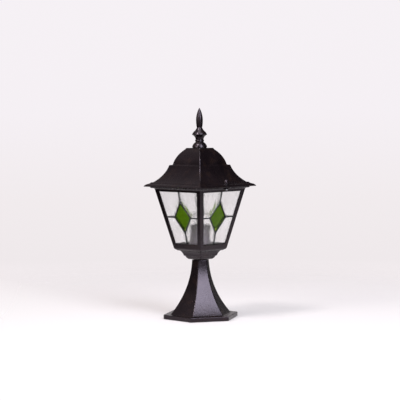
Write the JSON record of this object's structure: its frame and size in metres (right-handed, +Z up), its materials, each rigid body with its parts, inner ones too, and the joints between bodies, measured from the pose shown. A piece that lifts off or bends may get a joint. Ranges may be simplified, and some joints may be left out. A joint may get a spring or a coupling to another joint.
{
  "type": "pedestal garden lantern",
  "caption": "Square tapering garden lantern with leaded glass and green diamonds, lift-off ogee roof with a screwed finial, stepped cup and flared six-sided pedestal.",
  "frame": {"origin": "centre of the pedestal's foot, on the ground plane", "axes": "+Z up, -Y the front pane, +X the right-hand pane; the pedestal's corners point along +X and -X"},
  "size_m": [0.15, 0.15, 0.3948],
  "materials": {
    "black_casting": "satin black powder coat on cast aluminium",
    "black_washer": "blackened steel",
    "zinc_steel": "zinc plated",
    "bright_screw": "bright zinc plated",
    "passivated_steel": "yellow passivated",
    "black_rubber": "matt black",
    "rippled_glass": "clear, with upright ripples",
    "green_glass": "green, smooth",
    "lead": "dark patinated lead came with soldered joints",
    "holder_plastic": "black thermoset",
    "holder_ceramic": "white, unglazed",
    "holder_brass": "plain brass",
    "block_plastic": "off-white",
    "tinned_copper": "tinned",
    "brown_insulation": "matt",
    "blue_insulation": "matt",
    "green_insulation": "matt"
  },
  "bodies": {
    "lantern_base": {"pedestal": "black_casting", "ground_plate": "zinc_steel", "cable_grommet": "black_rubber", "lock_screws": "zinc_steel", "neck_seal": "black_rubber", "cup": "black_casting", "hollow_stud": "passivated_steel", "lower_nut": "passivated_steel", "lower_washer": "zinc_steel", "upper_nut": "passivated_steel", "upper_washer": "zinc_steel", "cup_screws": "zinc_steel", "cage_frame": "black_casting", "roof_gasket": "black_rubber", "fixing_screws": "bright_screw", "clear_glass_front": "rippled_glass", "clear_glass_right": "rippled_glass", "clear_glass_back": "rippled_glass", "clear_glass_left": "rippled_glass", "green_diamond_front": "green_glass", "green_diamond_right": "green_glass", "green_diamond_back": "green_glass", "green_diamond_left": "green_glass", "lead_came_front": "lead", "lead_came_right": "lead", "lead_came_back": "lead", "lead_came_left": "lead", "glass_seals": "black_rubber", "holder_cap": "holder_plastic", "holder_shell": "holder_plastic", "holder_core": "holder_ceramic", "holder_sleeve": "holder_brass", "centre_contact": "holder_brass", "side_contact": "holder_brass", "holder_terminals": "holder_brass", "terminal_screws": "zinc_steel", "grub_screw": "zinc_steel", "terminal_block": "block_plastic", "block_clamps": "holder_brass", "clamp_screws": "zinc_steel", "block_screws": "zinc_steel", "earth_screw": "passivated_steel", "earth_ring": "tinned_copper", "live_wire": "brown_insulation", "neutral_wire": "blue_insulation", "earth_wire": "green_insulation"},
    "roof": {"roof": "black_casting"},
    "right_nut_washer": {"nut_washer_right": "black_washer"},
    "left_nut_washer": {"nut_washer_left": "black_washer"},
    "right_nut": {"acorn_nut_right": "black_casting"},
    "left_nut": {"acorn_nut_left": "black_casting"},
    "finial_seal": {"finial_seal": "black_rubber"},
    "finial": {"finial": "black_casting"}
  },
  "joints": [
    {"name": "roof_lift", "type": "slide", "parent": "lantern_base", "child": "roof", "axis": [0, 0, 1], "range_m": [0, 0.12]},
    {"name": "right_nut_rise", "type": "slide", "parent": "roof", "child": "right_nut_washer", "axis": [0, 0, 1], "range_m": [0, 0.008]},
    {"name": "right_nut_turn", "type": "hinge", "parent": "right_nut_washer", "child": "right_nut", "pos_m": [0.068, 0, 0.2544], "axis": [0, 0, 1], "range_deg": [0, 4115]},
    {"name": "left_nut_rise", "type": "slide", "parent": "roof", "child": "left_nut_washer", "axis": [0, 0, 1], "range_m": [0, 0.008]},
    {"name": "left_nut_turn", "type": "hinge", "parent": "left_nut_washer", "child": "left_nut", "pos_m": [-0.068, 0, 0.2544], "axis": [0, 0, 1], "range_deg": [0, 4115]},
    {"name": "finial_rise", "type": "slide", "parent": "roof", "child": "finial_seal", "axis": [0, 0, 1], "range_m": [0, 0.012]},
    {"name": "finial_turn", "type": "hinge", "parent": "finial_seal", "child": "finial", "pos_m": [0, 0, 0.3208], "axis": [0, 0, 1], "range_deg": [0, 4321]}
  ],
  "couplings": [
    {"joint": "right_nut_turn", "follows": "right_nut_rise", "rad_per_m": 8976},
    {"joint": "left_nut_turn", "follows": "left_nut_rise", "rad_per_m": 8976},
    {"joint": "finial_turn", "follows": "finial_rise", "rad_per_m": 6283.2}
  ]
}
